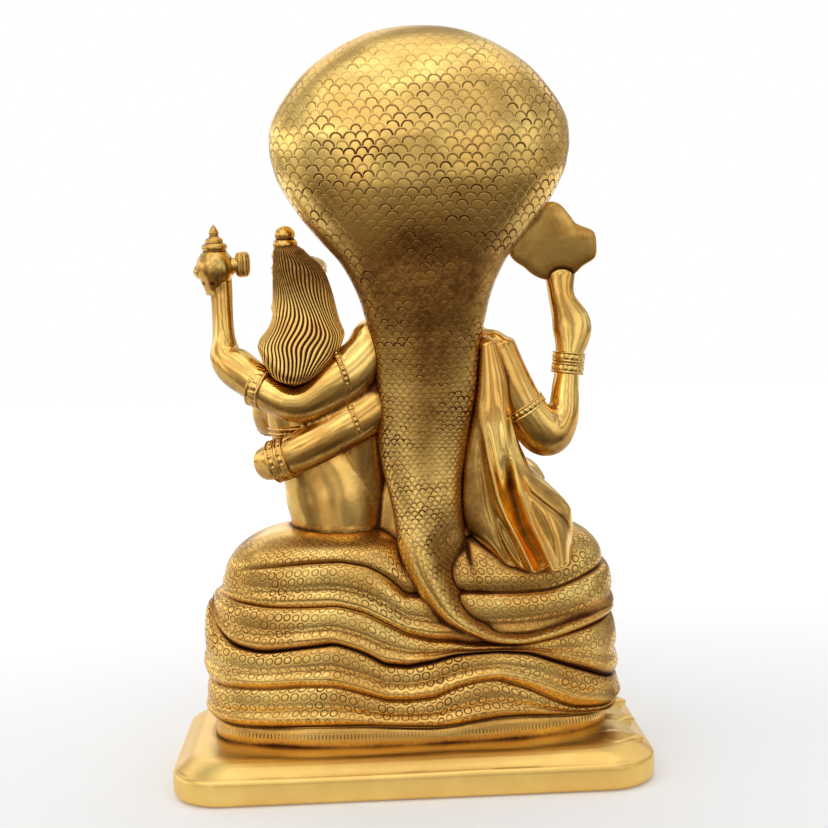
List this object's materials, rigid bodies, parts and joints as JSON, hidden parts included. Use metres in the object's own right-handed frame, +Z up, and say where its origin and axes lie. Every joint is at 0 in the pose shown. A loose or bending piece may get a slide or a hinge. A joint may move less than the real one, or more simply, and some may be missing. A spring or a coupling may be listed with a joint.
{
  "type": "seated narasimha idol",
  "caption": "Cast brass idol of Narasimha with Lakshmi, seated on a coiled serpent whose wide hood rises behind them, on a low plinth.",
  "frame": {"origin": "centre of the plinth's underside", "axes": "+Z up; the figures face -Y, so the serpent's back faces +Y; +X is the side where Lakshmi sits"},
  "size_m": [0.258, 0.132, 0.4],
  "materials": {
    "brass": "polished yellow brass with dark brown patina left in the grooves and creases"
  },
  "bodies": {
    "root": {"narasimha_idol": "brass"}
  },
  "joints": []
}
